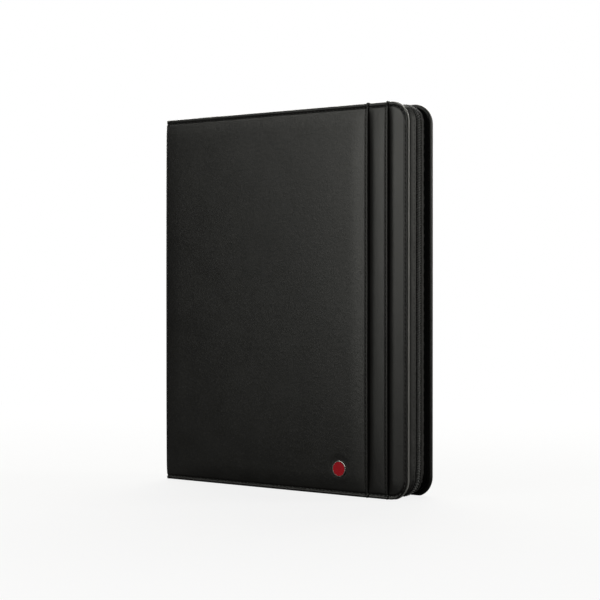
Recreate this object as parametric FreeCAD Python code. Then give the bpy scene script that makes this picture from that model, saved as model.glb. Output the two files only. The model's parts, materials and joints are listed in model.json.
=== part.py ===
import FreeCAD, Part
import math
import os

# A zip-around portfolio case that stands on its long covers' bottom edges, all in millimetres.
# X runs from the spine at the left to the free edge at the right, -Y is the front, and +Z is up.
# The origin is below the middle of the closed case. An inset n is measured in from a cover's edge.

V = FreeCAD.Vector

# Closed case
WIDTH = 270.0
HEIGHT = 340.0
DEPTH = 46.0
CORNER_R = 17.0
LEFT = -WIDTH / 2
RIGHT = WIDTH / 2

# Layers of a cover
SKIN = 1.0
FOAM = 1.2
BOARD = 2.0
LINING = 0.8
BADGE_PROUD = 1.0
BOARD_INSET = 1.0
LINING_INSET = 1.9
BOARD_FOLD_CLEAR = 0.5
LINING_FOLD_CLEAR = 1.0
FOLD_X = LEFT + 4.0

# Front cover, from its outer face in
MAIN_Y = -DEPTH / 2 + BADGE_PROUD
FOAM_Y = MAIN_Y + SKIN
MIDDLE_Y = FOAM_Y + FOAM
FRONT_SKIN_Y = MIDDLE_Y + SKIN
FRONT_BOARD_Y = FRONT_SKIN_Y + SKIN
FRONT_LINING_Y = FRONT_BOARD_Y + BOARD
FRONT_INNER_Y = FRONT_LINING_Y + LINING
MAIN_EDGE_X = 97.4
MIDDLE_EDGE_X = 117.2
FOAM_INSET = 5.0

# Back cover, from its outer face in
BACK_Y = DEPTH / 2
BACK_FOAM_Y = BACK_Y - SKIN
BACK_BOARD_Y = BACK_FOAM_Y - FOAM
BACK_LINING_Y = BACK_BOARD_Y - BOARD
BACK_INNER_Y = BACK_LINING_Y - LINING

# Spine and its two creases
CREASE_OUTER = 4.0
CREASE_CLEAR_Z = 0.5
SPINE_FRONT_Y = MAIN_Y + CREASE_OUTER
SPINE_BACK_Y = BACK_Y - CREASE_OUTER
SPINE_BOARD = 1.5
SPINE_LINING = 0.7
SPINE_BOARD_INSET = 0.5
SPINE_LINING_FRONT_GAP = 3.5
SPINE_LINING_BACK_GAP = 1.5

# Piping bead
PIPING_R = 0.8
PIPING_INSET = 0.9

# Zip: its middle plane, coils, tapes and the gussets that carry them
ZIP_Y = 1.8
COIL_OUTER_N = 0.6
COIL_INNER_N = 2.55
COIL_NEAR = 0.1
COIL_FAR = 3.0
COIL_START_X = -118.0
TAPE_T = 0.5
TAPE_NEAR = 1.1
TAPE_WRAP = math.radians(35)
TAPE_START_X = -127.0
GUSSET_R = 16.0
GUSSET_T = 1.0
GUSSET_CENTRE_N = 17.55
GUSSET_OFFSET = 4.6
GUSSET_START_X = -129.5

# Zip stops: metal crimps on the tape ends
STOP_X0 = -124.6
STOP_X1 = -122.4
STOP_NEAR = 0.7
STOP_FAR = 2.9
STOP_OUTER_N = 1.4
STOP_INNER_N = 4.2

# Slider
SLIDER_X0 = -122.0
SLIDER_X1 = -111.0
SLIDER_HALF = 4.2
SLIDER_TOP_N0 = -0.95
SLIDER_TOP_N1 = 0.25
FLANGE_NEAR = 3.35
FLANGE_N = 2.2
SLIDER_BOTTOM_N0 = 3.4
SLIDER_BOTTOM_N1 = 4.5
POST_X0 = -121.5
POST_X1 = -118.5
POST_HALF = 0.8
SLIDER_CORNER = 1.8
BRIDGE_X0 = -120.0
BRIDGE_X1 = -113.0
BRIDGE_HALF = 1.0
BRIDGE_OUTER_N = -2.95
BRIDGE_INNER_N = -2.25
BRIDGE_LEG = 0.9
BRIDGE_ROUND = 0.6

# Pull
PIVOT_X = -116.5
PIVOT_N = -1.6
PIN_R = 0.4
LINK_HALF = 2.3
LINK_ARM = 0.9
LINK_END_X = -107.5
TAB_X0 = -108.6
TAB_X1 = -85.0
TAB_HALF = 3.5
TAB_T = 2.2
TAB_CORNER = 2.6

# Badge on the main pocket panel
BADGE_X = 68.0
BADGE_Z = 23.3
BADGE_R = 7.2
BADGE_RIM = 1.0
BADGE_ROUND = 0.5
ENAMEL_T = 0.8
RIVET_R = 1.5
WASHER_R = 5.0
WASHER_T = 0.6
WASHER_GAP = 0.5

# Organiser inside the front cover
DOCUMENT_X0 = -124.0
DOCUMENT_X1 = 122.0
DOCUMENT_Z0 = 10.0
DOCUMENT_Z1 = 262.0
DOCUMENT_DEPTH = 1.8
DOCUMENT_SKIN = 0.9
DOCUMENT_RIM = 2.5
DOCUMENT_CORNER = 5.0
DOCUMENT_Y = FRONT_INNER_Y + DOCUMENT_DEPTH + DOCUMENT_SKIN
SLOT_COUNT = 4
SLOT_T = 0.75
SLOT_STEP_Z = 14.0
SLOT_X0 = 8.0
SLOT_X1 = 110.0
SLOT_Z0 = 148.0
SLOT_TOP_Z = 252.0
POUCH_DEPTH = 1.2
POUCH_SKIN = 0.8
POUCH_RIM = 2.0
POUCH_CORNER = 3.0
POUCH_Z0 = 22.0
PHONE_X0 = 8.0
PHONE_X1 = 110.0
PHONE_Z1 = 136.0
GADGET_X0 = -104.0
GADGET_X1 = -8.0
GADGET_Z1 = 160.0
WINDOW_X0 = -104.0
WINDOW_X1 = -8.0
WINDOW_Z0 = 176.0
WINDOW_Z1 = 244.0
WINDOW_BORDER_X = 8.0
WINDOW_BORDER_Z = 9.0
WINDOW_CORNER = 3.0
FILM_INSET = 2.0
FILM_T = 0.3
WINDOW_FRAME_T = 0.8
LOOP_X = -113.0
LOOP_Y = -6.9
LOOP_R = 5.6
LOOP_T = 0.7
LOOP_LENGTH = 28.0
LOOP_BASE_HALF = 7.5
LOOP_LOWER_Z = 96.0
LOOP_UPPER_Z = 216.0

# A4 pad and its sleeve inside the back cover
PAD_X0 = -88.0
PAD_WIDTH = 210.0
PAD_Z0 = 14.0
PAD_HEIGHT = 297.0
PAD_X1 = PAD_X0 + PAD_WIDTH
PAD_Z1 = PAD_Z0 + PAD_HEIGHT
SHEETS_Y0 = 9.2
SHEETS_Y1 = 14.7
CARD_Y0 = 16.6
CARD_T = 0.8
BINDING_T = 0.25
BINDING_CAP = 0.3
BINDING_LEG = 18.0
HEAD_STRIP = 12.0
SLEEVE_X0 = -91.5
SLEEVE_X1 = 125.5
SLEEVE_Z0 = 10.2
SLEEVE_Z1 = 196.0
SLEEVE_SIDE = 2.0
SLEEVE_BOTTOM = 3.5
SLEEVE_DEPTH = 1.9
SLEEVE_SKIN = 1.0
SLEEVE_CORNER = 4.0


def box(x0, x1, y0, y1, z0, z1):
    return Part.makeBox(x1 - x0, y1 - y0, z1 - z0, V(x0, y0, z0))


def disc(radius, x, z, y0, y1):
    """A round plate that faces along Y."""
    return Part.makeCylinder(radius, y1 - y0, V(x, y0, z), V(0, 1, 0))


def face_of(curves):
    return Part.Face(Part.Wire([curve.toShape() for curve in curves]))


def plate(x0, x1, z0, z1, y0, y1, corner):
    """A flat plate with square corners on the left and round ones on the right."""
    cut = corner * (1 - math.sqrt(0.5))
    low_start = V(x1 - corner, y0, z0)
    low_end = V(x1, y0, z0 + corner)
    high_start = V(x1, y0, z1 - corner)
    high_end = V(x1 - corner, y0, z1)
    outline = [
        Part.LineSegment(V(x0, y0, z0), low_start),
        Part.Arc(low_start, V(x1 - cut, y0, z0 + cut), low_end),
        Part.LineSegment(low_end, high_start),
        Part.Arc(high_start, V(x1 - cut, y0, z1 - cut), high_end),
        Part.LineSegment(high_end, V(x0, y0, z1)),
        Part.LineSegment(V(x0, y0, z1), V(x0, y0, z0)),
    ]
    return face_of(outline).extrude(V(0, y1 - y0, 0))


def cover_plate(y0, y1, inset, x0):
    """A full-size layer of a cover, set in from the three free edges."""
    return plate(x0, RIGHT - inset, inset, HEIGHT - inset, y0, y1, CORNER_R - inset)


def patch_pocket(x0, x1, z0, z1, seat_y, inward, depth, skin, side, bottom, corner):
    """A pocket that is open at the top: a wall held off its seat by a rim on three sides."""
    wall_y = seat_y + inward * depth
    face_y = wall_y + inward * skin
    outer = plate(x0, x1, z0, z1, min(seat_y, face_y), max(seat_y, face_y), corner)
    room = plate(x0 + side, x1 - side, z0 + bottom, z1 + corner,
                 min(seat_y, wall_y), max(seat_y, wall_y), corner - side)
    return outer.cut(room)


def rim_point(n, y, x):
    return V(x, y, HEIGHT - n)


def rim_rectangle(n0, n1, y0, y1, x):
    """A rectangular section on the top edge, looking along the case's rim."""
    corners = [rim_point(n0, y0, x), rim_point(n0, y1, x), rim_point(n1, y1, x), rim_point(n1, y0, x)]
    return Part.Face(Part.makePolygon(corners + corners[:1]))


def around(section, start_x):
    """Carry a section along the top, round the two right corners and back along the bottom."""
    turn_x = RIGHT - CORNER_R
    run = V(turn_x - start_x, 0, 0)
    drop = V(0, 0, 2 * CORNER_R - HEIGHT)
    upper_turn = V(turn_x, 0, HEIGHT - CORNER_R)
    lower_turn = V(turn_x, 0, CORNER_R)
    up = V(0, 1, 0)
    at_upper_start = section.translated(run)
    at_upper_end = at_upper_start.rotated(upper_turn, up, 90)
    at_lower_start = at_upper_end.translated(drop)
    at_lower_end = at_lower_start.rotated(lower_turn, up, 90)
    stretches = [
        at_upper_start.revolve(upper_turn, up, 90),
        at_upper_end.extrude(drop),
        at_lower_start.revolve(lower_turn, up, 90),
        at_lower_end.extrude(run * -1),
    ]
    return section.extrude(run).multiFuse(stretches).removeSplitter()


def both_ends(piece):
    """The piece at the top of the case and its mirror image at the bottom."""
    twin = piece.mirror(V(0, 0, HEIGHT / 2), V(0, 0, 1))
    return Part.makeCompound([piece, twin])


# Front cover

def main_pocket_panel():
    panel = plate(FOLD_X, MAIN_EDGE_X, 0, HEIGHT, MAIN_Y, FOAM_Y, SKIN)
    return panel.cut(disc(RIVET_R, BADGE_X, BADGE_Z, MAIN_Y, FOAM_Y))


def main_panel_foam():
    foam = plate(FOLD_X + FOAM_INSET, MAIN_EDGE_X - FOAM_INSET, FOAM_INSET, HEIGHT - FOAM_INSET,
                 FOAM_Y, MIDDLE_Y, FOAM)
    return foam.cut(disc(WASHER_R + WASHER_GAP, BADGE_X, BADGE_Z, FOAM_Y, MIDDLE_Y))


def middle_pocket_panel():
    return plate(FOLD_X, MIDDLE_EDGE_X, 0, HEIGHT, MIDDLE_Y, FRONT_SKIN_Y, SKIN)


def front_cover_skin():
    outer = cover_plate(FRONT_SKIN_Y, FRONT_LINING_Y, 0, FOLD_X)
    room = cover_plate(FRONT_BOARD_Y, FRONT_LINING_Y, BOARD_INSET, FOLD_X - SKIN)
    return outer.cut(room)


def front_board():
    return cover_plate(FRONT_BOARD_Y, FRONT_LINING_Y, BOARD_INSET, FOLD_X + BOARD_FOLD_CLEAR)


def front_lining():
    return cover_plate(FRONT_LINING_Y, FRONT_INNER_Y, LINING_INSET, FOLD_X + LINING_FOLD_CLEAR)


def piping(seat_y, inner_y, inward):
    """A bead with a flat seat and a round top, sewn on the turned edge of a cover."""
    outer_n = PIPING_INSET - PIPING_R
    inner_n = PIPING_INSET + PIPING_R
    crown = rim_point(PIPING_INSET, inner_y + inward * PIPING_R, FOLD_X)
    outer_top = rim_point(outer_n, inner_y, FOLD_X)
    inner_top = rim_point(inner_n, inner_y, FOLD_X)
    outer_seat = rim_point(outer_n, seat_y, FOLD_X)
    inner_seat = rim_point(inner_n, seat_y, FOLD_X)
    section = face_of([
        Part.LineSegment(outer_seat, outer_top),
        Part.Arc(outer_top, crown, inner_top),
        Part.LineSegment(inner_top, inner_seat),
        Part.LineSegment(inner_seat, outer_seat),
    ])
    return around(section, FOLD_X)


def gusset_point(radius, angle, side, x):
    """A point on the gusset's arc, from its crown beside the zip down to the cover."""
    middle_y = ZIP_Y + side * GUSSET_OFFSET
    n = GUSSET_CENTRE_N - radius * math.cos(angle)
    return rim_point(n, middle_y + side * radius * math.sin(angle), x)


def gusset(side, inner_y):
    """A quilted band that bows out from the cover's lining up to the zip."""
    span = abs(inner_y - ZIP_Y) - GUSSET_OFFSET
    inner_r = GUSSET_R - GUSSET_T
    outer_angle = math.asin(span / GUSSET_R)
    inner_angle = math.asin(span / inner_r)
    outer = [gusset_point(GUSSET_R, outer_angle * step, side, GUSSET_START_X) for step in (0, 0.5, 1)]
    inner = [gusset_point(inner_r, inner_angle * step, side, GUSSET_START_X) for step in (1, 0.5, 0)]
    section = face_of([
        Part.Arc(outer[0], outer[1], outer[2]),
        Part.LineSegment(outer[2], inner[0]),
        Part.Arc(inner[0], inner[1], inner[2]),
        Part.LineSegment(inner[2], outer[0]),
    ])
    return around(section, GUSSET_START_X)


def zip_tape(side):
    """A woven tape that runs flat beside the coil and then on under the gusset."""
    outer_r = GUSSET_R - GUSSET_T
    inner_r = outer_r - TAPE_T
    near_y = ZIP_Y + side * TAPE_NEAR
    near_outer = rim_point(GUSSET_CENTRE_N - outer_r, near_y, TAPE_START_X)
    near_inner = rim_point(GUSSET_CENTRE_N - inner_r, near_y, TAPE_START_X)
    outer = [gusset_point(outer_r, TAPE_WRAP * step, side, TAPE_START_X) for step in (0, 0.5, 1)]
    inner = [gusset_point(inner_r, TAPE_WRAP * step, side, TAPE_START_X) for step in (1, 0.5, 0)]
    section = face_of([
        Part.LineSegment(near_outer, outer[0]),
        Part.Arc(outer[0], outer[1], outer[2]),
        Part.LineSegment(outer[2], inner[0]),
        Part.Arc(inner[0], inner[1], inner[2]),
        Part.LineSegment(inner[2], near_inner),
        Part.LineSegment(near_inner, near_outer),
    ])
    return around(section, TAPE_START_X)


def zip_coil(side):
    """The plain envelope of one half of the coil."""
    near_y = ZIP_Y + side * COIL_NEAR
    far_y = ZIP_Y + side * COIL_FAR
    section = rim_rectangle(COIL_OUTER_N, COIL_INNER_N, min(near_y, far_y), max(near_y, far_y),
                            COIL_START_X)
    return around(section, COIL_START_X)


def zip_stops(side):
    """A metal crimp round the tape's edge at each end of the zip."""
    near_y = ZIP_Y + side * STOP_NEAR
    far_y = ZIP_Y + side * STOP_FAR
    crimp = box(STOP_X0, STOP_X1, min(near_y, far_y), max(near_y, far_y),
                HEIGHT - STOP_INNER_N, HEIGHT - STOP_OUTER_N)
    slot_near_y = ZIP_Y + side * TAPE_NEAR
    tape_n = GUSSET_CENTRE_N - GUSSET_R + GUSSET_T
    slot = box(STOP_X0, STOP_X1, min(slot_near_y, far_y), max(slot_near_y, far_y),
               HEIGHT - tape_n - TAPE_T, HEIGHT - tape_n)
    return both_ends(crimp.cut(slot))


# Badge

def badge_bezel():
    ring = disc(BADGE_R, BADGE_X, BADGE_Z, MAIN_Y - BADGE_PROUD, MAIN_Y)
    bore = disc(BADGE_R - BADGE_RIM, BADGE_X, BADGE_Z, MAIN_Y - BADGE_PROUD, MAIN_Y)
    outer_edge = [edge for edge in ring.Edges if edge.Closed and edge.CenterOfMass.y < MAIN_Y - BADGE_ROUND]
    return ring.makeFillet(BADGE_ROUND, outer_edge).cut(bore)


def badge_enamel():
    return disc(BADGE_R - BADGE_RIM, BADGE_X, BADGE_Z, MAIN_Y - ENAMEL_T, MAIN_Y)


def badge_rivet():
    """The shaft through the panel and the washer that is clenched behind it."""
    shaft = disc(RIVET_R, BADGE_X, BADGE_Z, MAIN_Y, FOAM_Y)
    washer = disc(WASHER_R, BADGE_X, BADGE_Z, FOAM_Y, FOAM_Y + WASHER_T)
    return shaft.fuse(washer).removeSplitter()


# Organiser

def document_pocket():
    return patch_pocket(DOCUMENT_X0, DOCUMENT_X1, DOCUMENT_Z0, DOCUMENT_Z1, FRONT_INNER_Y, 1,
                        DOCUMENT_DEPTH, DOCUMENT_SKIN, DOCUMENT_RIM, DOCUMENT_RIM, DOCUMENT_CORNER)


def card_slot(number):
    """One of a stack of overlapping card slips, each lower than the one behind it."""
    y0 = DOCUMENT_Y + SLOT_T * (number - 1)
    top_z = SLOT_TOP_Z - SLOT_STEP_Z * (number - 1)
    return box(SLOT_X0, SLOT_X1, y0, y0 + SLOT_T, SLOT_Z0, top_z)


def pouch(x0, x1, z1):
    return patch_pocket(x0, x1, POUCH_Z0, z1, DOCUMENT_Y, 1, POUCH_DEPTH, POUCH_SKIN,
                        POUCH_RIM, POUCH_RIM, POUCH_CORNER)


def id_window_film():
    return box(WINDOW_X0 + FILM_INSET, WINDOW_X1 - FILM_INSET, DOCUMENT_Y, DOCUMENT_Y + FILM_T,
               WINDOW_Z0 + FILM_INSET, WINDOW_Z1 - FILM_INSET)


def id_window_frame():
    y0 = DOCUMENT_Y + FILM_T
    y1 = y0 + WINDOW_FRAME_T
    outer = box(WINDOW_X0, WINDOW_X1, y0, y1, WINDOW_Z0, WINDOW_Z1)
    window = box(WINDOW_X0 + WINDOW_BORDER_X, WINDOW_X1 - WINDOW_BORDER_X, y0, y1,
                 WINDOW_Z0 + WINDOW_BORDER_Z, WINDOW_Z1 - WINDOW_BORDER_Z)
    corners = [edge for edge in window.Edges if abs(edge.tangentAt(edge.FirstParameter).y) > 0.9]
    return outer.cut(window.makeFillet(WINDOW_CORNER, corners))


def pen_loop(z0):
    """An elastic loop on its sewn base strip, open at both ends."""
    z1 = z0 + LOOP_LENGTH
    tube = Part.makeCylinder(LOOP_R, LOOP_LENGTH, V(LOOP_X, LOOP_Y, z0))
    bore = Part.makeCylinder(LOOP_R - LOOP_T, LOOP_LENGTH, V(LOOP_X, LOOP_Y, z0))
    base = box(LOOP_X - LOOP_BASE_HALF, LOOP_X + LOOP_BASE_HALF, DOCUMENT_Y, DOCUMENT_Y + LOOP_T, z0, z1)
    room = box(LOOP_X - LOOP_R, LOOP_X + LOOP_R, DOCUMENT_Y, LOOP_Y + LOOP_R, z0, z1)
    ring = tube.cut(bore).common(room)
    return ring.fuse(base).removeSplitter()


# Spine

def spine_skin():
    return box(LEFT, LEFT + SKIN, SPINE_FRONT_Y, SPINE_BACK_Y, 0, HEIGHT)


def spine_board():
    x0 = LEFT + SKIN
    return box(x0, x0 + SPINE_BOARD, SPINE_FRONT_Y + SPINE_BOARD_INSET, SPINE_BACK_Y - SPINE_BOARD_INSET,
               BOARD_INSET, HEIGHT - BOARD_INSET)


def spine_lining():
    x0 = LEFT + SKIN + SPINE_BOARD
    return box(x0, x0 + SPINE_LINING, SPINE_FRONT_Y + SPINE_LINING_FRONT_GAP,
               SPINE_BACK_Y - SPINE_LINING_BACK_GAP, LINING_INSET, HEIGHT - LINING_INSET)


def crease(middle_y, side):
    """A quarter turn of skin between the spine and a cover, which bends when the case opens."""
    length = HEIGHT - 2 * CREASE_CLEAR_Z
    foot = V(FOLD_X, middle_y, CREASE_CLEAR_Z)
    outer = Part.makeCylinder(CREASE_OUTER, length, foot)
    inner = Part.makeCylinder(CREASE_OUTER - SKIN, length, foot)
    y0 = min(middle_y, middle_y + side * CREASE_OUTER)
    quarter = box(LEFT, FOLD_X, y0, y0 + CREASE_OUTER, CREASE_CLEAR_Z, HEIGHT - CREASE_CLEAR_Z)
    return outer.cut(inner).common(quarter)


# Back cover

def back_cover_skin():
    outer = cover_plate(BACK_LINING_Y, BACK_Y, 0, FOLD_X)
    room = cover_plate(BACK_LINING_Y, BACK_FOAM_Y, BOARD_INSET, FOLD_X - SKIN)
    return outer.cut(room)


def back_foam():
    return cover_plate(BACK_BOARD_Y, BACK_FOAM_Y, BOARD_INSET, FOLD_X + FOAM_INSET)


def back_board():
    return cover_plate(BACK_LINING_Y, BACK_BOARD_Y, BOARD_INSET, FOLD_X + BOARD_FOLD_CLEAR)


def back_lining():
    return cover_plate(BACK_INNER_Y, BACK_LINING_Y, LINING_INSET, FOLD_X + LINING_FOLD_CLEAR)


def pad_sleeve():
    return patch_pocket(SLEEVE_X0, SLEEVE_X1, SLEEVE_Z0, SLEEVE_Z1, BACK_INNER_Y, -1, SLEEVE_DEPTH,
                        SLEEVE_SKIN, SLEEVE_SIDE, SLEEVE_BOTTOM, SLEEVE_CORNER)


# Slider and pull

def slider_body():
    """Two plates joined by the post at the nose, with a flange down each side of the top plate."""
    def rounded(slab):
        uprights = [edge for edge in slab.Edges if abs(edge.tangentAt(edge.FirstParameter).z) > 0.9]
        return slab.makeFillet(SLIDER_CORNER, uprights)

    y0 = ZIP_Y - SLIDER_HALF
    y1 = ZIP_Y + SLIDER_HALF
    shell = rounded(box(SLIDER_X0, SLIDER_X1, y0, y1, HEIGHT - FLANGE_N, HEIGHT - SLIDER_TOP_N0))
    channel = box(SLIDER_X0, SLIDER_X1, ZIP_Y - FLANGE_NEAR, ZIP_Y + FLANGE_NEAR,
                  HEIGHT - FLANGE_N, HEIGHT - SLIDER_TOP_N1)
    bottom = rounded(box(SLIDER_X0, SLIDER_X1, y0, y1, HEIGHT - SLIDER_BOTTOM_N1, HEIGHT - SLIDER_BOTTOM_N0))
    post = box(POST_X0, POST_X1, ZIP_Y - POST_HALF, ZIP_Y + POST_HALF,
               HEIGHT - SLIDER_BOTTOM_N0, HEIGHT - SLIDER_TOP_N1)
    return shell.cut(channel).multiFuse([post, bottom]).removeSplitter()


def slider_bridge():
    """The staple on top of the slider that the pull hangs on."""
    top_z = HEIGHT - SLIDER_TOP_N0
    staple = box(BRIDGE_X0, BRIDGE_X1, ZIP_Y - BRIDGE_HALF, ZIP_Y + BRIDGE_HALF, top_z, HEIGHT - BRIDGE_OUTER_N)
    room = box(BRIDGE_X0 + BRIDGE_LEG, BRIDGE_X1 - BRIDGE_LEG, ZIP_Y - BRIDGE_HALF, ZIP_Y + BRIDGE_HALF,
               top_z, HEIGHT - BRIDGE_INNER_N)
    shoulders = [edge for edge in staple.Edges
                 if abs(edge.tangentAt(edge.FirstParameter).y) > 0.9 and edge.CenterOfMass.z > top_z + BRIDGE_ROUND]
    return staple.makeFillet(BRIDGE_ROUND, shoulders).cut(room)


def pull_link():
    """A wire link: a pin through the bridge, two arms beside it and a bar inside the tab."""
    pivot_z = HEIGHT - PIVOT_N
    half = LINK_ARM / 2
    pin = Part.makeCylinder(PIN_R, 2 * LINK_HALF, V(PIVOT_X, ZIP_Y - LINK_HALF, pivot_z), V(0, 1, 0))
    bar = box(LINK_END_X - LINK_ARM, LINK_END_X, ZIP_Y - LINK_HALF, ZIP_Y + LINK_HALF,
              pivot_z - half, pivot_z + half)
    pieces = [bar]
    for y0 in (ZIP_Y - LINK_HALF, ZIP_Y + LINK_HALF - LINK_ARM):
        pieces.append(box(PIVOT_X, LINK_END_X, y0, y0 + LINK_ARM, pivot_z - half, pivot_z + half))
        pieces.append(Part.makeCylinder(half, LINK_ARM, V(PIVOT_X, y0, pivot_z), V(0, 1, 0)))
    return pin.multiFuse(pieces).removeSplitter()


def pull_tab():
    pivot_z = HEIGHT - PIVOT_N
    tab = box(TAB_X0, TAB_X1, ZIP_Y - TAB_HALF, ZIP_Y + TAB_HALF, pivot_z - TAB_T / 2, pivot_z + TAB_T / 2)
    uprights = [edge for edge in tab.Edges
                if abs(edge.tangentAt(edge.FirstParameter).z) > 0.9 and edge.CenterOfMass.x > TAB_X1 - 1]
    return tab.makeFillet(TAB_CORNER, uprights).cut(pull_link())


# Writing pad

def pad_sheets():
    return box(PAD_X0, PAD_X1, SHEETS_Y0, SHEETS_Y1, PAD_Z0, PAD_Z1)


def pad_backing_card():
    """The card that slides into the sleeve, with the head strip that the sheets are glued to."""
    card = box(PAD_X0, PAD_X1, CARD_Y0, CARD_Y0 + CARD_T, PAD_Z0, PAD_Z1)
    strip = box(PAD_X0, PAD_X1, SHEETS_Y1, CARD_Y0, PAD_Z1 - HEAD_STRIP, PAD_Z1)
    return card.fuse(strip).removeSplitter()


def pad_binding():
    """A tape folded over the head of the pad, from the first sheet to the back of the card."""
    y0 = SHEETS_Y0 - BINDING_T
    y1 = CARD_Y0 + CARD_T + BINDING_T
    foot_z = PAD_Z1 + BINDING_CAP - BINDING_LEG
    front = box(PAD_X0, PAD_X1, y0, SHEETS_Y0, foot_z, PAD_Z1 + BINDING_CAP)
    back = box(PAD_X0, PAD_X1, CARD_Y0 + CARD_T, y1, foot_z, PAD_Z1 + BINDING_CAP)
    cap = box(PAD_X0, PAD_X1, y0, y1, PAD_Z1, PAD_Z1 + BINDING_CAP)
    return cap.multiFuse([front, back]).removeSplitter()


def nodes():
    """Every sub-part by name."""
    made = {
        "main_pocket_panel": main_pocket_panel(),
        "main_panel_foam": main_panel_foam(),
        "middle_pocket_panel": middle_pocket_panel(),
        "front_cover_skin": front_cover_skin(),
        "front_board": front_board(),
        "front_lining": front_lining(),
        "front_piping": piping(FRONT_LINING_Y, FRONT_INNER_Y, 1),
        "front_gusset": gusset(-1, FRONT_INNER_Y),
        "front_zip_tape": zip_tape(-1),
        "front_zip_coil": zip_coil(-1),
        "front_zip_stops": zip_stops(-1),
        "badge_bezel": badge_bezel(),
        "badge_enamel": badge_enamel(),
        "badge_rivet": badge_rivet(),
        "document_pocket": document_pocket(),
        "phone_pocket": pouch(PHONE_X0, PHONE_X1, PHONE_Z1),
        "gadget_pocket": pouch(GADGET_X0, GADGET_X1, GADGET_Z1),
        "id_window_film": id_window_film(),
        "id_window_frame": id_window_frame(),
        "pen_loop_lower": pen_loop(LOOP_LOWER_Z),
        "pen_loop_upper": pen_loop(LOOP_UPPER_Z),
        "spine_skin": spine_skin(),
        "spine_board": spine_board(),
        "spine_lining": spine_lining(),
        "front_crease": crease(SPINE_FRONT_Y, -1),
        "back_crease": crease(SPINE_BACK_Y, 1),
        "back_cover_skin": back_cover_skin(),
        "back_foam": back_foam(),
        "back_board": back_board(),
        "back_lining": back_lining(),
        "back_piping": piping(BACK_LINING_Y, BACK_INNER_Y, -1),
        "back_gusset": gusset(1, BACK_INNER_Y),
        "back_zip_tape": zip_tape(1),
        "back_zip_coil": zip_coil(1),
        "back_zip_stops": zip_stops(1),
        "pad_sleeve": pad_sleeve(),
        "slider_body": slider_body(),
        "slider_bridge": slider_bridge(),
        "pull_link": pull_link(),
        "pull_tab": pull_tab(),
        "pad_sheets": pad_sheets(),
        "pad_backing_card": pad_backing_card(),
        "pad_binding": pad_binding(),
    }
    for number in range(1, SLOT_COUNT + 1):
        made["card_slot_%d" % number] = card_slot(number)
    return made


os.makedirs("parts", exist_ok=True)
for name, shape in nodes().items():
    shape.exportStep("parts/%s.step" % name)
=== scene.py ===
import json
import math

import bmesh
import bpy
import numpy as np
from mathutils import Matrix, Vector


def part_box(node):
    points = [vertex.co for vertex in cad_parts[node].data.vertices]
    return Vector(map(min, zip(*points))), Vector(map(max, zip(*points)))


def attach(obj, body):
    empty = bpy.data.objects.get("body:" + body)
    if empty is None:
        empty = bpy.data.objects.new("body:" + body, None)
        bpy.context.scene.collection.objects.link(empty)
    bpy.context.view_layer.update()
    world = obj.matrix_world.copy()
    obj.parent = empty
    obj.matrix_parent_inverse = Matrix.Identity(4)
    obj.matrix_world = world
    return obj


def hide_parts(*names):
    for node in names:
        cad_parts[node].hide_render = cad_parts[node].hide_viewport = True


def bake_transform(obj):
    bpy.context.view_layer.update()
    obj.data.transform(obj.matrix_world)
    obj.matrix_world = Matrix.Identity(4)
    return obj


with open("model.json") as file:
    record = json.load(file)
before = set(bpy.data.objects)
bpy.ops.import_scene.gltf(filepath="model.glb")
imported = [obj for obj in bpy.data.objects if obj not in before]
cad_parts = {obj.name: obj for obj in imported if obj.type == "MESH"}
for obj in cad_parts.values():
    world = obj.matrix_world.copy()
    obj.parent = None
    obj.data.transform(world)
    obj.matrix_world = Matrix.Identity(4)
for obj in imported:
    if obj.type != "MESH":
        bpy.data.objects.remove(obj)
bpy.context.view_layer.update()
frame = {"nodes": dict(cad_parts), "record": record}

# Shapes are worked out in millimetres in the frame of the CAD model and turned into metres here.
MM = 0.001


def span(node):
    """The lowest and highest corner of a CAD node in millimetres."""
    low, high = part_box(node)
    return np.array(low) / MM, np.array(high) / MM


SKIN_LOW, SKIN_HIGH = span("front_cover_skin")
SPINE_LOW, SPINE_HIGH = span("spine_skin")
BACK_INNER_Y = span("back_cover_skin")[0][1]
FOLD_X = SKIN_LOW[0]
RIGHT = SKIN_HIGH[0]
HEIGHT = SKIN_HIGH[2]
CORNER_R = 17.0
MAIN_EDGE_X = span("main_pocket_panel")[1][0]
MIDDLE_EDGE_X = span("middle_pocket_panel")[1][0]
ZIP_Y = 0.5 * (span("front_zip_coil")[0][1] + span("back_zip_coil")[1][1])

# Stitching: the pitch, length and thickness of the threads, and how far the lines run from an edge
PITCH = 4.0
STITCH = 3.1
THREAD_R = 0.52
FINE_THREAD_R = 0.2
RIM_STITCH = 3.4
HEM_STITCH = 2.5
SIDE_STITCH = 1.4
POCKET_STITCH = 1.6
GUSSET_STITCH = 2.3

# The leather's lowest row, just above the floor
BOTTOM = 0.3

# Levels of the leather at the flat rims, measured outward from the case's middle plane
SHELL_LEVEL = 18.8
MIDDLE_LEVEL = 19.7
MAIN_LEVEL = 20.7
BACK_LEVEL = 22.9


# Mesh building

def new_object(name, data):
    thing = bpy.data.objects.new(name, data)
    bpy.context.scene.collection.objects.link(thing)
    return thing


def collect(name, points, faces, material, body=None):
    """A smooth mesh piece from points in millimetres, flattened where it would sink into the floor."""
    points = np.array(points, float).reshape(-1, 3) * MM
    points[:, 2] = np.maximum(points[:, 2], 0)
    mesh = bpy.data.meshes.new(name)
    mesh.from_pydata(points.tolist(), [], faces)
    shaped = bmesh.new()
    shaped.from_mesh(mesh)
    bmesh.ops.recalc_face_normals(shaped, faces=shaped.faces)
    shaped.to_mesh(mesh)
    shaped.free()
    mesh.shade_smooth()
    piece = new_object(name, mesh)
    mesh.materials.append(material)
    if body:
        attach(piece, body)
    return piece


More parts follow.
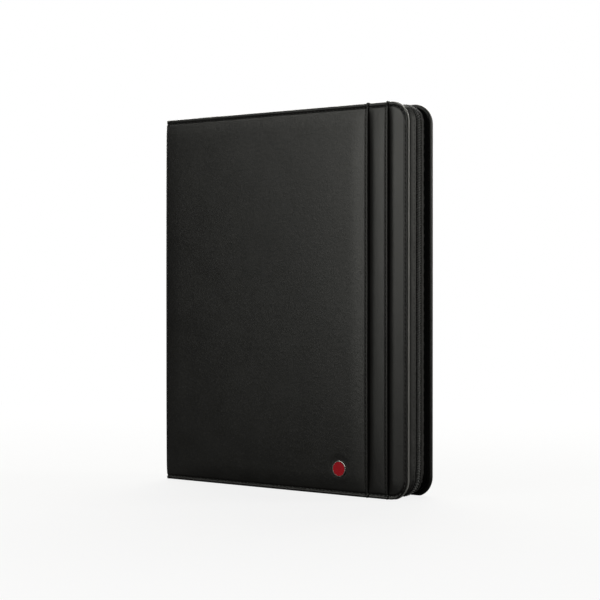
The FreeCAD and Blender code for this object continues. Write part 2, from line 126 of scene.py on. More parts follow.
def grid_faces(rows, columns, closed=False, first=0):
    """Quads between the points of a grid. A closed grid joins its last column to its first."""
    faces = []
    for j in range(rows - 1):
        for i in range(columns if closed else columns - 1):
            a = first + j * columns + i
            b = first + j * columns + (i + 1) % columns
            faces.append((a, b, b + columns, a + columns))
    return faces


def steps(*stops):
    """Rising values through the stops, each given as (value, step up to the next value)."""
    values = []
    for (start, step), (end, _) in zip(stops, stops[1:]):
        count = max(1, round((end - start) / step))
        values += [start + (end - start) * k / count for k in range(count)]
    return np.array(values + [stops[-1][0]])


def rise(distance, width, power=2.4):
    """0 at an edge and 1 from width on, steep at first."""
    return 1 - (1 - np.clip(distance / width, 0, 1)) ** power


def bump(distance, width):
    """A smooth ridge, 1 in its middle."""
    return np.exp(-(distance / width) ** 2)


def soft_waves(a, b):
    """Slow unevenness of leather over foam, from -1 to 1."""
    return (np.sin(a / 23.0 + 0.6) * np.sin(b / 31.0 + 1.7) + np.sin(a / 41.0 - b / 37.0 + 2.1)
            + 0.6 * np.sin(a / 13.0 + b / 17.0 + 0.4)) / 2.6


# Materials

# The period of the wave texture at scale 1
WAVE_PERIOD = 0.314

# The pad's ruling and leaves
PAD_LOW, PAD_HIGH = (MM * corner for corner in span("pad_sheets"))
RULE_PITCH = 8.0 * MM
RULE_WIDTH = 0.35 * MM
RULE_TOP = float(PAD_HIGH[2]) - 28 * MM
MARGIN_X = float(PAD_LOW[0]) + 30 * MM
LEAF_PITCH = 0.25 * MM

MATERIALS = {}


def set_inputs(node, **values):
    for socket, value in values.items():
        node.inputs[socket.replace("_", " ")].default_value = value


def new_node(tree, kind, **values):
    node = tree.nodes.new("ShaderNode" + kind)
    set_inputs(node, **values)
    return node


def new_material(name):
    """A new material, kept in MATERIALS: its shader, node tree and object coordinates."""
    material = bpy.data.materials.new(name)
    material.use_nodes = True
    MATERIALS[name] = material
    tree = material.node_tree
    return tree.nodes["Principled BSDF"], tree, new_node(tree, "TexCoord").outputs["Object"]


def noise_node(tree, coords, scale, detail=3.0):
    noise = new_node(tree, "TexNoise", Scale=scale, Detail=detail)
    tree.links.new(coords, noise.inputs["Vector"])
    return noise.outputs["Fac"]


def ramp_node(tree, factor, low, high):
    """A factor turned into a colour between low and high."""
    ramp = new_node(tree, "ValToRGB")
    first, last = ramp.color_ramp.elements
    first.position = 0.3
    last.position = 0.7
    first.color = (*low, 1)
    last.color = (*high, 1)
    tree.links.new(factor, ramp.inputs["Fac"])
    return ramp.outputs["Color"]


def range_node(tree, factor, low, high, start=0.0, end=1.0):
    ranged = new_node(tree, "MapRange", From_Min=start, From_Max=end, To_Min=low, To_Max=high)
    tree.links.new(factor, ranged.inputs["Value"])
    return ranged.outputs["Result"]


def bump_node(tree, height, strength, distance, normal=None):
    node = new_node(tree, "Bump", Strength=strength, Distance=distance)
    tree.links.new(height, node.inputs["Height"])
    if normal:
        tree.links.new(normal, node.inputs["Normal"])
    return node.outputs["Normal"]


def math_node(tree, operation, first, second):
    node = new_node(tree, "Math")
    node.operation = operation
    tree.links.new(first, node.inputs[0])
    if isinstance(second, float):
        node.inputs[1].default_value = second
    else:
        tree.links.new(second, node.inputs[1])
    return node.outputs[0]


def surface(tree, shader, colour, roughness, normal):
    tree.links.new(colour, shader.inputs["Base Color"])
    tree.links.new(roughness, shader.inputs["Roughness"])
    tree.links.new(normal, shader.inputs["Normal"])


def leather(name, dark, light, rough=(0.33, 0.42), grain=1.0, gloss=0.5):
    """Smooth leatherette: fine cell grain, soft mottling and uneven gloss."""
    shader, tree, coords = new_material(name)
    mottle = noise_node(tree, coords, 38.0, 4.0)
    fine = noise_node(tree, coords, 900.0, 2.0)
    cells = new_node(tree, "TexVoronoi")
    cells.feature = "DISTANCE_TO_EDGE"
    set_inputs(cells, Scale=850.0)
    tree.links.new(coords, cells.inputs["Vector"])
    pebble = range_node(tree, cells.outputs["Distance"], 0.0, 1.0, end=0.22)
    broad = bump_node(tree, noise_node(tree, coords, 260.0), 0.24, 0.0005)
    grained = bump_node(tree, pebble, 0.16 * grain, 0.0002, broad)
    normal = bump_node(tree, fine, 0.12 * grain, 0.0001, grained)
    surface(tree, shader, ramp_node(tree, mottle, dark, light), range_node(tree, mottle, *rough), normal)
    set_inputs(shader, Specular_IOR_Level=gloss)


def weave(name, dark, light, pitch, rough=(0.75, 0.9), sheen=0.2, angle=0.0, gloss=0.5):
    """Woven cloth: threads pitch millimetres apart, crossed in the X-Z plane and plain along Y."""
    shader, tree, coords = new_material(name)
    mapping = new_node(tree, "Mapping", Rotation=(0, angle, 0))
    tree.links.new(coords, mapping.inputs["Vector"])
    threads = []
    for direction in "XZY":
        wave = new_node(tree, "TexWave", Scale=WAVE_PERIOD / (pitch * MM), Distortion=0.4, Detail=1.0)
        wave.bands_direction = direction
        wave.wave_profile = "SIN"
        tree.links.new(mapping.outputs["Vector"], wave.inputs["Vector"])
        threads.append(wave.outputs["Fac"])
    crossed = math_node(tree, "MULTIPLY", threads[0], threads[1])
    woven = math_node(tree, "ADD", crossed, threads[2])
    fuzz = noise_node(tree, coords, 260.0)
    colour = ramp_node(tree, math_node(tree, "MULTIPLY", woven, fuzz), dark, light)
    surface(tree, shader, colour, range_node(tree, fuzz, *rough), bump_node(tree, woven, 0.5, 0.0002))
    set_inputs(shader, Sheen_Weight=sheen, Sheen_Roughness=0.5, Specular_IOR_Level=gloss)


def speckled(name, dark, light, rough, scale, bump_strength, **fixed):
    """A solid with a fine uneven colour and surface: board, foam, plastic, metal or enamel."""
    shader, tree, coords = new_material(name)
    fine = noise_node(tree, coords, scale, 4.0)
    slow = noise_node(tree, coords, scale / 12, 2.0)
    normal = bump_node(tree, fine, bump_strength, 0.0001)
    surface(tree, shader, ramp_node(tree, slow, dark, light), range_node(tree, fine, *rough), normal)
    set_inputs(shader, **fixed)


def mixed_colour(tree, factor, below, above):
    """A socket's colour, with a plain colour laid over it by a factor."""
    mix = new_node(tree, "Mix")
    mix.data_type = "RGBA"
    tree.links.new(factor, mix.inputs["Factor"])
    tree.links.new(below, mix.inputs["A"])
    mix.inputs["B"].default_value = (*above, 1)
    return mix.outputs["Result"]


def ruled_paper():
    """Cream writing paper: ruled lines and a margin on its face, and leaf edges on its sides."""
    shader, tree, coords = new_material("paper")
    place = new_node(tree, "SeparateXYZ")
    facing = new_node(tree, "SeparateXYZ")
    tree.links.new(coords, place.inputs[0])
    tree.links.new(tree.nodes["Texture Coordinate"].outputs["Normal"], facing.inputs[0])
    x, y, z = (place.outputs[axis] for axis in "XYZ")
    face = math_node(tree, "LESS_THAN", facing.outputs["Y"], -0.5)
    side = math_node(tree, "ABSOLUTE", math_node(tree, "SUBTRACT", face, 1.0), 0.0)
    rule = math_node(tree, "LESS_THAN", math_node(tree, "MODULO", z, RULE_PITCH), RULE_WIDTH)
    rule = math_node(tree, "MULTIPLY", rule, math_node(tree, "LESS_THAN", z, RULE_TOP))
    rule = math_node(tree, "MULTIPLY", rule, face)
    margin = math_node(tree, "COMPARE", x, MARGIN_X)
    tree.nodes[-1].inputs[2].default_value = RULE_WIDTH
    margin = math_node(tree, "MULTIPLY", margin, face)
    leaf = math_node(tree, "LESS_THAN", math_node(tree, "PINGPONG", y, LEAF_PITCH), 0.35 * LEAF_PITCH)
    leaf = math_node(tree, "MULTIPLY", leaf, side)
    fibres = noise_node(tree, coords, 420.0, 4.0)
    paper = ramp_node(tree, fibres, (0.8, 0.79, 0.74), (0.84, 0.83, 0.785))
    ruled = mixed_colour(tree, rule, paper, (0.36, 0.45, 0.6))
    edged = mixed_colour(tree, margin, ruled, (0.62, 0.25, 0.25))
    leaved = mixed_colour(tree, leaf, edged, (0.45, 0.44, 0.41))
    normal = bump_node(tree, fibres, 0.1, 0.00005)
    surface(tree, shader, leaved, range_node(tree, fibres, 0.7, 0.8), normal)


def make_materials():
    leather("cover_leather", (0.0055, 0.0053, 0.005), (0.008, 0.0077, 0.0074))
    leather("pocket_leather", (0.018, 0.0175, 0.017), (0.026, 0.025, 0.024), (0.42, 0.55))
    # Painted highlight: the piping leather's light grey stands in for the bright line of light along the
    # front piping's edge.
    leather("piping_leather", (0.36, 0.355, 0.345), (0.44, 0.43, 0.42), (0.22, 0.3), grain=0.4)
    leather("gusset_leather", (0.014, 0.0135, 0.013), (0.02, 0.019, 0.0185), (0.5, 0.62))
    # Painted shade: this near-black, dull leather stands in for the shadow in the recess behind the back
    # gusset and on the back piping bead. It is darker than the leather those parts are made of.
    leather("painted_shade_leather", (0.002, 0.002, 0.002), (0.003, 0.003, 0.003), (0.7, 0.8), gloss=0.1)
    leather("pull_leather", (0.013, 0.012, 0.012), (0.02, 0.019, 0.018), (0.4, 0.5))
    weave("thread", (0.003, 0.003, 0.003), (0.008, 0.008, 0.008), 0.25, (0.6, 0.75), sheen=0.0, gloss=0.12)
    weave("lining_cloth", (0.018, 0.018, 0.02), (0.05, 0.05, 0.055), 0.55, angle=0.785)
    # Partly painted shade: the tape is dark cloth, and its colour is taken darker still so the strip under
    # the gusset's folded edge reads as shadow.
    weave("zip_tape", (0.008, 0.008, 0.0082), (0.03, 0.03, 0.0305), 0.5, (0.6, 0.75), sheen=0.1, gloss=0.2)
    weave("elastic", (0.01, 0.01, 0.011), (0.04, 0.04, 0.042), 0.45, (0.7, 0.85), sheen=0.3)
    weave("binding_tape", (0.01, 0.01, 0.012), (0.04, 0.04, 0.045), 0.4)
    speckled("foam", (0.3, 0.3, 0.31), (0.38, 0.38, 0.39), (0.85, 0.95), 900.0, 0.6)
    speckled("greyboard", (0.3, 0.28, 0.25), (0.4, 0.37, 0.33), (0.8, 0.9), 500.0, 0.4)
    speckled("backing_card", (0.33, 0.26, 0.18), (0.45, 0.37, 0.27), (0.8, 0.9), 500.0, 0.3)
    speckled("zip_coil", (0.14, 0.14, 0.14), (0.2, 0.2, 0.2), (0.25, 0.35), 700.0, 0.08)
    speckled("zip_metal", (0.1, 0.1, 0.105), (0.16, 0.16, 0.165), (0.25, 0.4), 900.0, 0.1, Metallic=1.0)
    speckled("badge_metal", (0.55, 0.52, 0.5), (0.68, 0.65, 0.62), (0.16, 0.28), 900.0, 0.06, Metallic=1.0)
    speckled("badge_red", (0.36, 0.004, 0.012), (0.46, 0.008, 0.018), (0.12, 0.2), 250.0, 0.03,
             Coat_Weight=0.8, Coat_Roughness=0.06)
    speckled("window_film", (0.8, 0.82, 0.83), (0.86, 0.88, 0.89), (0.06, 0.14), 60.0, 0.05,
             Transmission_Weight=0.9, IOR=1.45)
    ruled_paper()


def dress_cad_nodes():
    """Every CAD node takes the material of its own slot in the record."""
    for part in frame["record"]["subparts"]:
        node = frame["nodes"][part["node"]]
        node.data.materials.clear()
        node.data.materials.append(MATERIALS[part["material_slot"]])


# Leather strips: sheets with a section that turns over the top and bottom edges of a cover

def edge_rows(level, low, high, wrap, turn_r, spacing):
    """Rows along a sheet as (outward, along, normal outward, normal along), between two wrapped ends.

    spacing lists (distance from either end, step) from the turn inwards; the last step fills the middle.
    """
    start = [(level - d, low, 0.0, -1.0) for d in np.linspace(wrap, turn_r, 4)]
    for k in range(1, 7):
        a = math.pi / 2 * k / 6
        start.append((level - turn_r + turn_r * math.sin(a), low + turn_r - turn_r * math.cos(a),
                      math.sin(a), -math.cos(a)))
    near = [(low + d, step) for d, step in spacing]
    turned = list(reversed(spacing))
    far = [(high - d, step) for (d, _), (_, step) in zip(turned, turned[1:])]
    flat = steps(*near, *far, (high - spacing[0][0], 1))
    middle = [(level, along, 1.0, 0.0) for along in flat]
    end = [(out, low + high - along, normal, -up) for out, along, normal, up in reversed(start)]
    return np.array(start + middle + end)


def sheet_mesh(name, rows, columns, relief, place, material, body):
    """A closed sheet. columns are (across, depth, share of the relief), and close into a ring."""
    level, z, normal_out, normal_up = (rows[:, k:k + 1] for k in range(4))
    across, depth, share = (columns[None, :, k] for k in range(3))
    height = relief(across + 0 * z, z + 0 * across) * share - depth
    outward = level + height * normal_out
    up = z + height * normal_up
    points = place(across + 0 * z, outward, up)
    count = columns.shape[0]
    faces = grid_faces(len(rows), count, closed=True)
    faces.append(tuple(range(count)))
    faces.append(tuple(range((len(rows) - 1) * count, len(rows) * count)))
    return collect(name, points, faces, material, body)


def hemmed_columns(front, thickness, back_count=6):
    """Columns over the front of a sheet, round its hem on the right and back underneath."""
    half = thickness / 2
    edge = front[-1]
    columns = [(x, 0.0, 1.0) for x in front[:-1]]
    for k in range(9):
        a = math.pi * k / 8
        share = 0.5 + 0.5 * math.cos(a)
        columns.append((edge - half + half * math.sin(a), half - half * math.cos(a), share))
    for k in range(1, back_count + 1):
        columns.append((edge - half + (front[0] - edge + half) * k / back_count, thickness, 0.0))
    return np.array(columns)


def on_front(across, outward, up):
    return np.stack([across, -outward, up], -1)


def on_back(across, outward, up):
    return np.stack([across, outward, up], -1)


def on_spine(across, outward, up):
    return np.stack([-outward, across, up], -1)


def cover_rows(level, wrap, turn_r):
    """Rows from the bottom to the top, closest beside the turned edges."""
    return edge_rows(level, BOTTOM, HEIGHT, wrap, turn_r, ((1.7, 0.45), (8.0, 0.9)))


def stitch_groove(away, along, width=0.6):
    """The dent of a stitch line: deep under each thread, with the leather coming up between them."""
    return bump(away, width) * (0.8 - 0.16 * np.cos(2 * math.pi * along / PITCH))


def rim_groove(edge, along):
    """The stitch line along the rim, with a slower pull on the leather round it."""
    return stitch_groove(edge - RIM_STITCH, along) + 0.15 * bump(edge - RIM_STITCH, 1.2)


def bottom_flare(z):
    """The bottom rim stands out a little where the case rests on it."""
    return 0.6 * np.clip(1 - z / RIM_STITCH, 0, 1)


def hem_shape(free, along, edge):
    """The doubled hem beside a pocket's free edge and the groove of its stitch line."""
    doubled = (0.28 + 0.12 * free) * np.clip((HEM_STITCH - free) / 0.5, 0, 1)
    doubled = doubled * (1 + 1.2 * np.clip(1 - edge / 1.5, 0, 1))
    return doubled - stitch_groove(free - HEM_STITCH, along)


def main_relief(x, z):
    """The main panel's padding: it rises from all its edges and dips round the badge."""
    edge = np.minimum(z, HEIGHT - z)
    free = MAIN_EDGE_X - x
    left = 1.3 + 0.75 * rise(x - FOLD_X, 18.0, 2.0) + 0.55 * rise(x - FOLD_X, 70.0, 2.0)
    right = 0.2 + 0.45 * rise(free - HEM_STITCH, 15.0, 2.0) + 0.35 * rise(free - HEM_STITCH, 60.0, 2.0)
    inside = 0.4 * rise(edge - RIM_STITCH, 16.0, 2.0) + 0.6 * rise(edge - RIM_STITCH, 90.0, 2.0)
    crown = left * right * inside + 0.1 * soft_waves(x, z) * inside
    seat = badge_seat(x, z)
    level = crown * (1 - seat) + BADGE_SEAT_LEVEL * seat
    return level - rim_groove(edge, x) + hem_shape(free, z, edge) + bottom_flare(z)


BADGE_LOW, BADGE_HIGH = span("badge_bezel")
BADGE_X = 0.5 * (BADGE_LOW[0] + BADGE_HIGH[0])
BADGE_Z = 0.5 * (BADGE_LOW[2] + BADGE_HIGH[2])
BADGE_R = 0.5 * (BADGE_HIGH[0] - BADGE_LOW[0])
BADGE_SEAT_LEVEL = -BADGE_HIGH[1] - MAIN_LEVEL + 0.05
BADGE_SLOPE = 6.5


def badge_seat(x, z):
    """1 under the badge and 0 a little way outside it."""
    away = np.hypot(x - BADGE_X, z - BADGE_Z) - BADGE_R
    t = np.clip(1 - away / BADGE_SLOPE, 0, 1)
    return t * t * (3 - 2 * t)


def middle_relief(x, z):
    """The second layer arches between the main panel's edge and its own."""
    edge = np.minimum(z, HEIGHT - z)
    free = MIDDLE_EDGE_X - x
    u = (x - MAIN_EDGE_X) / (MIDDLE_EDGE_X - HEM_STITCH - MAIN_EDGE_X)
    arch = -1.1 + 2.4 * rise(u + 0.02, 0.42, 2.2) - 0.9 * np.clip((u - 0.4) / 0.6, 0, 1) ** 2
    arch = np.where(u > 1.0, 0.4, arch)
    inside = 0.25 * rise(edge - RIM_STITCH, 8.0, 2.0) + 0.75 * rise(edge - RIM_STITCH, 60.0, 2.0)
    return arch * inside - rim_groove(edge, x) + hem_shape(free, z, edge) + bottom_flare(z)


def main_panel():
    front = steps((FOLD_X, 1.0), (FOLD_X + 12, 1.33), (MAIN_EDGE_X - 4.5, 0.35), (MAIN_EDGE_X, 1))
    rows = cover_rows(MAIN_LEVEL, wrap=4.2, turn_r=1.5)
    piece = sheet_mesh("main_panel_leather", rows, hemmed_columns(front, 0.95), main_relief, on_front,
                       MATERIALS["cover_leather"], "front_cover")
    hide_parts("main_pocket_panel", "main_panel_foam")


def middle_panel():
    front = steps((MAIN_EDGE_X - 30, 3.0), (MAIN_EDGE_X - 6, 0.8), (MIDDLE_EDGE_X - 4.5, 0.35),
                  (MIDDLE_EDGE_X, 1))
    rows = cover_rows(MIDDLE_LEVEL, wrap=3.3, turn_r=1.2)
    piece = sheet_mesh("middle_panel_leather", rows, hemmed_columns(front, 0.85), middle_relief, on_front,
                       MATERIALS["cover_leather"], "front_cover")
    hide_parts("middle_pocket_panel")


# Covers: sheets with two round corners that turn over three edges

def cover_profile(inset, depth, turn_r, turned, undercut=0.0, lip=0.0):
    """(n, depth) from the corner's centre out to the edge, down the edge and back in underneath.

    undercut leans the edge inwards towards its foot, and lip carries the foot below the flat back.
    """
    low = depth + lip
    middle = np.linspace(CORNER_R - 0.4, 8, 9)[:-1]
    rim = np.linspace(8, inset + turn_r, 14)
    profile = [(n, 0.0) for n in (*middle, *rim)]
    for k in range(1, 6):
        a = math.pi / 2 * k / 5
        profile.append((inset + turn_r - turn_r * math.sin(a), turn_r - turn_r * math.cos(a)))
    for share in (1 / 3, 2 / 3, 1):
        profile.append((inset + undercut * share, turn_r + (low - 2 * turn_r) * share))
    foot = inset + undercut
    for k in range(1, 5):
        a = math.pi / 2 * k / 4
        profile.append((foot + turn_r - turn_r * math.cos(a), low - turn_r + turn_r * math.sin(a)))
    profile.append((foot + turned, depth))
    return np.array(profile)


def cover_mesh(name, level, profile, columns, rows, relief, place, material, body):
    """A closed cover: the face, its turned edges, a flat back and a flat end at the fold."""
    ring = len(profile)
    turn_x = RIGHT - CORNER_R
    interior = len(columns)
    total_rows = 2 * ring + len(rows)
    points = np.zeros((total_rows, interior + ring, 3))
    n_map = np.full((total_rows, interior + ring), CORNER_R)
    for j in range(total_rows):
        if j < ring:
            up, centre_z, sign = ring - 1 - j, CORNER_R, -1.0
        elif j < ring + len(rows):
            up, centre_z, sign = -1, rows[j - ring], 0.0
        else:
            up, centre_z, sign = j - ring - len(rows), HEIGHT - CORNER_R, 1.0
        for i in range(interior + ring):
            right = i - interior
            outermost = max(right, up)
            if outermost < 0:
                points[j, i] = (columns[i], 0.0, centre_z)
                continue
            n, depth = profile[outermost]
            reach = CORNER_R - n
            if right < 0:
                points[j, i] = (columns[i], -depth, centre_z + sign * reach)
            elif up < 0:
                points[j, i] = (turn_x + reach, -depth, centre_z)
            else:
                share = min(right, up) / outermost if outermost else 0.0
                a = math.pi / 4 * share
                if up > right:
                    a = math.pi / 2 - a
                up_reach = sign * reach * math.sin(a)
                points[j, i] = (turn_x + reach * math.cos(a), -depth, centre_z + up_reach)
            n_map[j, i] = n
    x, below, z = points[..., 0], points[..., 1], points[..., 2]
    lifted = level + below + np.where(below == 0, relief(x, z, n_map), 0.0)
    placed = place(x, lifted, z)
    count = interior + ring
    faces = grid_faces(total_rows, count)
    left = [j * count for j in range(total_rows)]
    bottom = list(range(count))
    side = [j * count + count - 1 for j in range(1, total_rows)]
    top = [(total_rows - 1) * count + i for i in range(count - 2, 0, -1)]
    faces.append(tuple(left))
    faces.append(tuple(bottom + side + top + [left[-1]]))
    return collect(name, placed, faces, material, body)


def shell_relief(x, z, n):
    """The front cover's own leather rises from under the second layer and falls to the rim."""
    mouth = x - MIDDLE_EDGE_X
    across = -1.0 + 2.3 * rise(mouth + 0.3, 7.0, 2.2)
    inside = rise(n - SIDE_STITCH, 15.0, 1.3)
    return across * inside - cover_groove(x, z, n) + bottom_flare(z)


def cover_groove(x, z, n):
    """The pull of the stitch line round a cover's three open sides."""
    along = np.where(np.minimum(z, HEIGHT - z) < CORNER_R * 0.6, x, z)
    return stitch_groove(n - stitch_inset(x), along)


def stitch_inset(x):
    """A cover's stitch line comes nearer to the edge as it leaves the top rim for the side."""
    return RIM_STITCH + (SIDE_STITCH - RIM_STITCH) * np.clip((x - (RIGHT - CORNER_R)) / 12.0, 0, 1)


def front_shell():
    columns = steps((FOLD_X, 30.0), (MIDDLE_EDGE_X - 16, 2.0), (MIDDLE_EDGE_X - 4, 0.7),
                    (RIGHT - CORNER_R - 0.3, 1))
    rows = steps((CORNER_R + 0.3, 0.9), (HEIGHT - CORNER_R - 0.3, 1))
    profile = cover_profile(inset=-0.1, depth=3.0, turn_r=0.7, turned=1.6, undercut=1.1, lip=1.4)
    piece = cover_mesh("front_cover_leather", SHELL_LEVEL, profile, columns, rows, shell_relief, on_front,
                       MATERIALS["cover_leather"], "front_cover")
    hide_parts("front_cover_skin")


def back_relief(x, z, n):
    crown = 1.1 * rise(n - RIM_STITCH, 34.0, 2.2) * (0.35 + 0.65 * rise(x - FOLD_X, 50.0, 2.2))
    return crown + 0.1 * soft_waves(x + 60, z) * rise(n - RIM_STITCH, 20.0) - cover_groove(x, z, n)


def back_rim(x, z):
    """The back cover's relief beside the fold, where only the top and bottom rims are near."""
    return back_relief(x, z, np.minimum(z, HEIGHT - z))


def back_shell():
    columns = steps((FOLD_X, 1.0), (RIGHT - CORNER_R - 0.3, 1))
    rows = steps((CORNER_R + 0.3, 1.6), (HEIGHT - CORNER_R - 0.3, 1))
    profile = cover_profile(inset=-1.35, depth=BACK_LEVEL - BACK_INNER_Y, turn_r=1.3, turned=1.6)
    piece = cover_mesh("back_cover_leather", BACK_LEVEL, profile, columns, rows, back_relief, on_back,
                       MATERIALS["cover_leather"], "back_cover")
    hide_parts("back_cover_skin", "back_foam")


# Spine and the leather and cloth that cross its two folds

# SPINE_LEVEL is how far the spine's leather stands left of the middle, and CREASE_LEVEL how far a crease
# stands from its fold line.
SPINE_LEVEL = 134.7
SPINE_THICKNESS = 2.4
CREASE_LEVEL = 3.0
CREASE_THICKNESS = 0.8
FRONT_CREASE_Y = SPINE_LOW[1]
BACK_CREASE_Y = SPINE_HIGH[1]


def spine_relief(y, z):
    """The spine bows out between its two folds."""
    edge = np.minimum(z, HEIGHT - z)
    middle = 0.5 * (FRONT_CREASE_Y + BACK_CREASE_Y)
    bow = 1 - ((y - middle) / (BACK_CREASE_Y - middle)) ** 2
    return (0.5 + 0.6 * bow) * rise(edge - RIM_STITCH, 14.0) - 0.25 * rim_groove(edge, y)


def spine_leather():
    front = np.linspace(FRONT_CREASE_Y, BACK_CREASE_Y, 38)
    columns = [(y, 0.0, 1.0) for y in front] + [(y, SPINE_THICKNESS, 0.0) for y in front[::-3]]
    rows = cover_rows(SPINE_LEVEL, wrap=2.5, turn_r=1.0)
    piece = sheet_mesh("spine_leather", rows, np.array(columns), spine_relief, on_spine,
                       MATERIALS["cover_leather"], "spine")
    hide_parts("spine_skin")


def crease(name, node, fold_y, side, cover_level, cover_relief):
    """The rounded strip of leather between the spine and a cover, bent by the fold."""
    spine_step = SPINE_LEVEL + FOLD_X - CREASE_LEVEL
    cover_step = cover_level - abs(fold_y) - CREASE_LEVEL

    def relief(share, z):
        at_spine = spine_step + spine_relief(fold_y, z)
        at_cover = cover_step + cover_relief(FOLD_X, z)
        return at_spine + (at_cover - at_spine) * share

    def place(share, outward, up):
        turn = share * math.pi / 2
        return np.stack([FOLD_X - outward * np.cos(turn), fold_y + side * outward * np.sin(turn), up], -1)

    shares = np.linspace(0, 1, 11)
    columns = [(share, 0.0, 1.0) for share in shares]
    columns += [(share, CREASE_THICKNESS, 1.0) for share in shares[::-1]]
    rows = cover_rows(CREASE_LEVEL, wrap=1.8, turn_r=0.9)
    piece = sheet_mesh(name, rows, np.array(columns), relief, place, MATERIALS["cover_leather"], None)
    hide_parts(node)
    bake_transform(piece)


def fold_lining(name, lining_y, side, bulb_y):
    """Slack cloth between the spine lining and a cover lining, tucked into the fold while it is shut."""
    route = [(2.0, -0.12), (0.4, -0.1), (-0.15, 0.6), (-0.3, bulb_y), (-0.25, bulb_y + 1.2),
             (-0.7, bulb_y + 2.2), (-1.6, bulb_y + 2.1), (-1.9, bulb_y + 1.1), (-1.25, bulb_y - 0.2),
             (-0.95, 0.5), (-0.68, -0.5), (-0.62, -1.8)]
    line = smooth_line(np.array([(FOLD_X + dx, lining_y + side * dy) for dx, dy in route]), 4)
    tangent = np.gradient(line, axis=0)
    tangent /= np.linalg.norm(tangent, axis=1)[:, None]
    normal = np.stack([-tangent[:, 1], tangent[:, 0]], 1)
    half = 0.15
    ring = np.concatenate([line + half * normal, (line - half * normal)[::-1]])
    heights = np.linspace(1.0, HEIGHT - 1.0, 60)
    points = np.array([[(x, y, z) for x, y in ring] for z in heights])
    count = len(ring)
    faces = grid_faces(len(heights), count, closed=True)
    faces += strip_caps(count, len(heights))
    piece = collect(name, points, faces, MATERIALS["lining_cloth"])
    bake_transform(piece)


def smooth_line(points, count):
    """A Catmull-Rom line through the points, with count steps between each pair."""
    padded = np.concatenate([[2 * points[0] - points[1]], points, [2 * points[-1] - points[-2]]])
    line = []
    for a, b, c, d in zip(padded, padded[1:], padded[2:], padded[3:]):
        for t in np.arange(count) / count:
            line.append(0.5 * (2 * b + (c - a) * t + (2 * a - 5 * b + 4 * c - d) * t ** 2
                               + (3 * b - a - 3 * c + d) * t ** 3))
    return np.array(line + [points[-1]])


def strip_caps(count, rows):
    """Quads that close both ends of a thin sheet whose ring folds back on itself."""
    caps = []
    for first in (0, (rows - 1) * count):
        for i in range(count // 2 - 1):
            caps.append((first + i, first + i + 1, first + count - 2 - i, first + count - 1 - i))
    return caps


# What runs round the three open sides: piping, gussets and the zip

def stations(start_x, step, corner_steps=14):
    """Places round the rim: the outline's point, the way inwards and the distance run, 2 mm inside."""
    turn_x = RIGHT - CORNER_R
    bottom = [((x, 0.0), (0.0, 1.0)) for x in steps((start_x, step), (turn_x, 1))]
    corner = []
    for k in range(1, corner_steps + 1):
        a = math.pi / 2 * k / corner_steps
        out = (math.sin(a), -math.cos(a))
        corner.append(((turn_x + CORNER_R * out[0], CORNER_R + CORNER_R * out[1]), (-out[0], -out[1])))
    right = [((RIGHT, z), (-1.0, 0.0)) for z in steps((CORNER_R, step), (HEIGHT / 2, 1))[1:]]
    lower = bottom + corner + right
    upper = [((x, HEIGHT - z), (inx, -inz)) for (x, z), (inx, inz) in reversed(lower[:-1])]
    base = np.array([point for point, _ in lower + upper])
    inward = np.array([way for _, way in lower + upper])
    run = np.concatenate([[0], np.cumsum(np.linalg.norm(np.diff(base + 2 * inward, axis=0), axis=1))])
    return base, inward, run


BOW = 1.3
BOW_START_X = 115.0


def bow(base):
    """How far the soft gussets push the zip out, none where the slider runs or the case stands."""
    past_slider = np.clip((base[:, 0] - BOW_START_X) / 18, 0, 1)
    clear_of_slider = np.where(base[:, 1] > HEIGHT / 2, past_slider, 1)
    clear_of_floor = np.clip((base[:, 1] - 3) / 30, 0, 1)
    share = np.minimum(clear_of_slider, clear_of_floor)
    return BOW * share * share * (3 - 2 * share)


def corner_share(base):
    """1 in the middle of a round corner and 0 along the straight sides."""
    x, z = base.T
    inset = 5
    near = np.minimum(np.hypot(x - (RIGHT - inset), z - inset),
                      np.hypot(x - (RIGHT - inset), z - (HEIGHT - inset)))
    return bump(near, 16)


def sweep(name, section, track, material, body, waver=None, bowed=0.0):
    """A closed section of (n, y) points carried round the rim, n inwards from the outline.

    waver gives what to add to n and y, and bowed is the share of the zip's bow that the piece follows.
    """
    base, inward, run = track
    base = base - inward * bow(base)[:, None] * bowed
    n, y = section.T
    shift_n, shift_y = (0, 0)
    if waver:
        shift_n, shift_y = waver(run[:, None], y[None], corner_share(base)[:, None])
    n = n[None] + shift_n + 0 * run[:, None]
    y = y[None] + shift_y + 0 * run[:, None]
    points = np.stack([base[:, :1] + n * inward[:, :1], y, base[:, 1:] + n * inward[:, 1:]], -1)
    count = len(section)
    faces = grid_faces(len(run), count, closed=True)
    faces += [tuple(range(count)), tuple(range((len(run) - 1) * count, len(run) * count))]
    return collect(name, points, faces, material, body)


def bead(n, y, radius, count=14):
    angles = np.arange(count) * 2 * math.pi / count
    return np.stack([n + radius * np.cos(angles), y + radius * np.sin(angles)], 1)


def piping(name, node, body, material, n, radius, shift_y=0.0):
    low, high = span(node)
    y = 0.5 * (low[1] + high[1]) + shift_y
    piece = sweep(name, bead(n, y, radius), stations(FOLD_X + 1, 2.2), MATERIALS[material], body)
    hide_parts(node)


# The gussets are bowed bands round centres inside the rim. Their folded edges stand ZIP_EDGE from the
# zip's middle, and the back one turns in at RECESS_START behind its edge.
ZIP_EDGE = 4.9
GUSSET_R = 16.0
GUSSET_INNER_R = 15.0
GUSSET_CENTRE_N = 17.55
RECESS_START = 4.2


